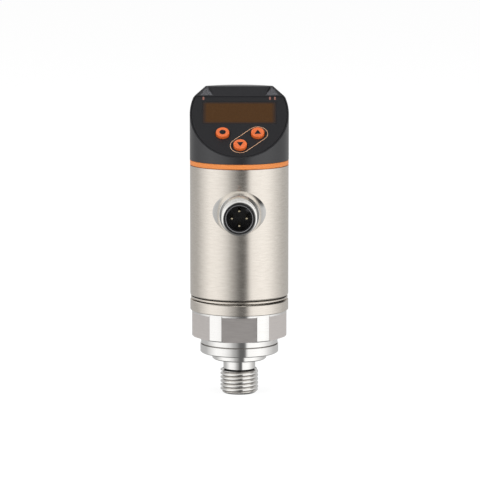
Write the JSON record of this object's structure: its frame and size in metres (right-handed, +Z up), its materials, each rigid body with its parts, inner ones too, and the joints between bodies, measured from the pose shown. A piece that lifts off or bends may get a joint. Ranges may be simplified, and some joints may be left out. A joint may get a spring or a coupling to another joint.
{
  "type": "pressure transmitter",
  "caption": "Pressure transmitter: steel housing with slanted display head, push buttons, front M12 socket and G1/4 threaded stud under a hexagon.",
  "frame": {"origin": "on the sensor's axis, in the sealing face under the collar of the threaded stud", "axes": "+Z up the sensor's axis towards the display head, -Y out of the M12 socket and towards the reader of the display, +X to the reader's right"},
  "size_m": [0.034, 0.0484, 0.1058],
  "materials": {
    "turned_steel": "turned and polished stainless steel, 1.4542",
    "sleeve_steel": "fine brushed stainless steel, 1.4404",
    "socket_steel": "turned and polished stainless steel",
    "spring_steel": "spring steel",
    "seal_rubber": "fluoroelastomer",
    "cell_ceramic": "alumina",
    "colour_ring": "orange moulded thermoplastic",
    "head_plastic": "black-grey moulded PBT, fine texture",
    "panel_foil": "black satin front foil",
    "window_tint": "brown-tinted clear polycarbonate",
    "display_block": "dark digit block",
    "board_laminate": "green glass-epoxy laminate",
    "chip_epoxy": "black moulding epoxy",
    "ribbon_film": "amber polyimide film",
    "carrier_plastic": "black moulded PA",
    "insert_plastic": "black moulded PA",
    "contact_brass": "gold-plated brass",
    "button_orange": "orange moulded elastomer-skinned plastic",
    "lamp_clear": "frosted clear polycarbonate",
    "lamp_chip": "lamp chip"
  },
  "bodies": {
    "process_connection": {"process_fitting": "turned_steel", "thread_seal_ring": "seal_rubber", "cell_seal": "seal_rubber", "measuring_cell": "cell_ceramic", "cell_clamp_ring": "turned_steel", "stop_pin": "spring_steel", "swivel_seal": "seal_rubber", "snap_ring": "spring_steel"},
    "housing": {"swivel_ring": "turned_steel", "housing_sleeve": "sleeve_steel", "colour_ring": "colour_ring", "connector_shell": "socket_steel", "connector_insert": "insert_plastic", "insert_seal": "seal_rubber", "contact_pins": "contact_brass", "board_carrier": "carrier_plastic", "main_board": "board_laminate", "board_chips": "chip_epoxy", "cell_lead": "ribbon_film", "display_ribbon": "ribbon_film", "head_seal": "seal_rubber", "head_housing": "head_plastic", "face_panel": "panel_foil", "display_window": "window_tint", "display_module": "display_block", "display_board": "board_laminate", "tact_switches": "chip_epoxy", "status_leds": "lamp_chip", "led_window_left": "lamp_clear", "led_window_right": "lamp_clear"},
    "mode_button_cap": {"mode_button": "button_orange"},
    "up_button_cap": {"up_button": "button_orange"},
    "down_button_cap": {"down_button": "button_orange"}
  },
  "joints": [
    {"name": "housing_swivel", "type": "hinge", "parent": "process_connection", "child": "housing", "pos_m": [0, 0, 0.025], "axis": [0, 0, 1], "range_deg": [-172.5, 172.5]},
    {"name": "mode_press", "type": "slide", "parent": "housing", "child": "mode_button_cap", "axis": [0, 0.6247, -0.7809], "range_m": [0, 0.0005], "stiffness_N_per_m": 1500, "springref_m": -0.0002},
    {"name": "up_press", "type": "slide", "parent": "housing", "child": "up_button_cap", "axis": [0, 0.6247, -0.7809], "range_m": [0, 0.0005], "stiffness_N_per_m": 1500, "springref_m": -0.0002},
    {"name": "down_press", "type": "slide", "parent": "housing", "child": "down_button_cap", "axis": [0, 0.6247, -0.7809], "range_m": [0, 0.0005], "stiffness_N_per_m": 1500, "springref_m": -0.0002}
  ]
}
